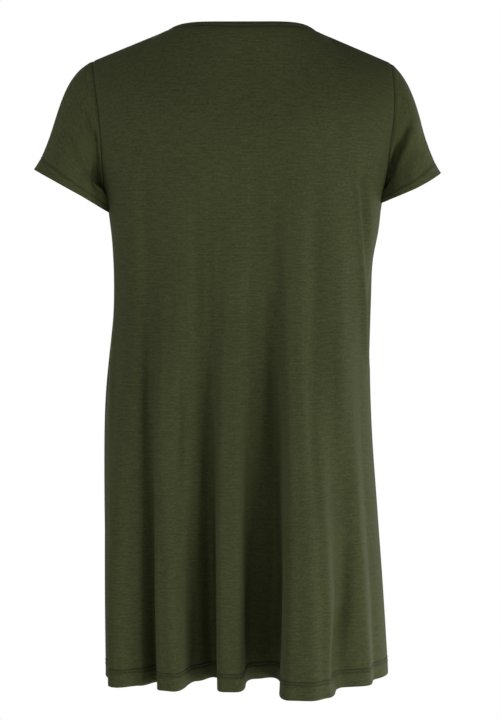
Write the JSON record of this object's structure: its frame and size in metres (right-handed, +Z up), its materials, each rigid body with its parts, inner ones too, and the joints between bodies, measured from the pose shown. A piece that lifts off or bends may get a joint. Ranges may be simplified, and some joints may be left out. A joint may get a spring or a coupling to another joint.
{
  "type": "a-line dress",
  "caption": "Short-sleeved a-line jersey dress, hollow and filled out as worn, open at neck, cuffs and hem, with soft folds growing down to a turned hem.",
  "frame": {"origin": "at the neck, on the centre line and in the plane of the side seams, 2 mm above the middle of the back neckline and 6 mm above the side neck points", "axes": "+Z up the wearer's body, +Y out of the wearer's back, +X to the wearer's left; the front faces -Y"},
  "size_m": [0.5475, 0.3397, 0.8761],
  "materials": {
    "jersey": "soft matt olive-green single jersey with a faint sheen",
    "binding": "folded olive-green jersey binding"
  },
  "bodies": {
    "root": {"back": "jersey", "front": "jersey", "sleeve_left": "jersey", "sleeve_right": "jersey", "neck_binding": "binding"}
  },
  "joints": []
}
